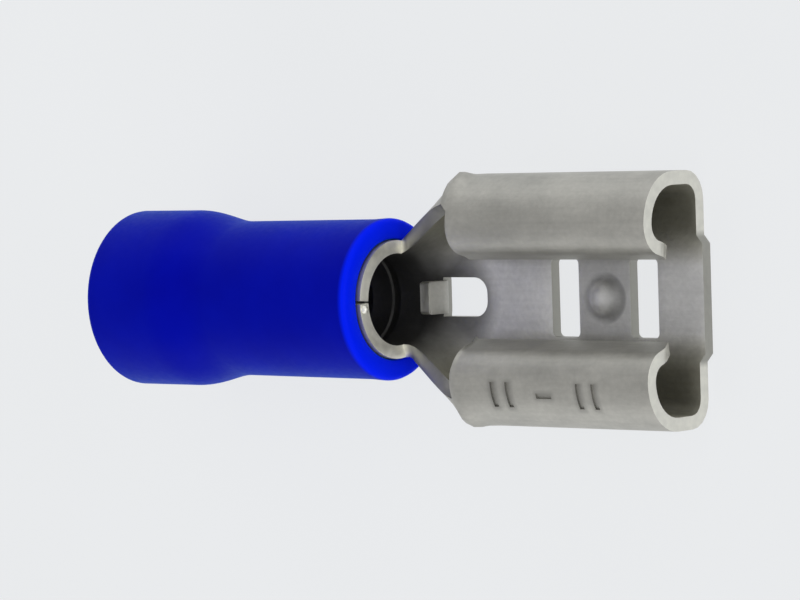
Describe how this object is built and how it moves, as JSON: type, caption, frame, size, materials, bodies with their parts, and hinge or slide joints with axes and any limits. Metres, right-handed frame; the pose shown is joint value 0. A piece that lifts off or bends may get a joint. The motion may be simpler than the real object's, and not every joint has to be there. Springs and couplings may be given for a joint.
{
  "type": "female spade terminal",
  "caption": "Tin-plated receptacle crimp terminal with rolled wings, a lanced tab stop and a blue insulating sleeve over its wire barrel.",
  "frame": {"origin": "on the wire barrel's axis, halfway along the barrel", "axes": "+X along the barrel's axis, out of the receptacle's mouth; +Z away from the base, towards the rolled wings; +Y to the left looking out of the mouth"},
  "size_m": [0.0206, 0.0078, 0.0056],
  "materials": {
    "terminal": "satin tin plate over brass",
    "insulating_sleeve": "soft satin vinyl"
  },
  "bodies": {
    "root": {"terminal": "terminal", "insulating_sleeve": "insulating_sleeve"}
  },
  "joints": []
}
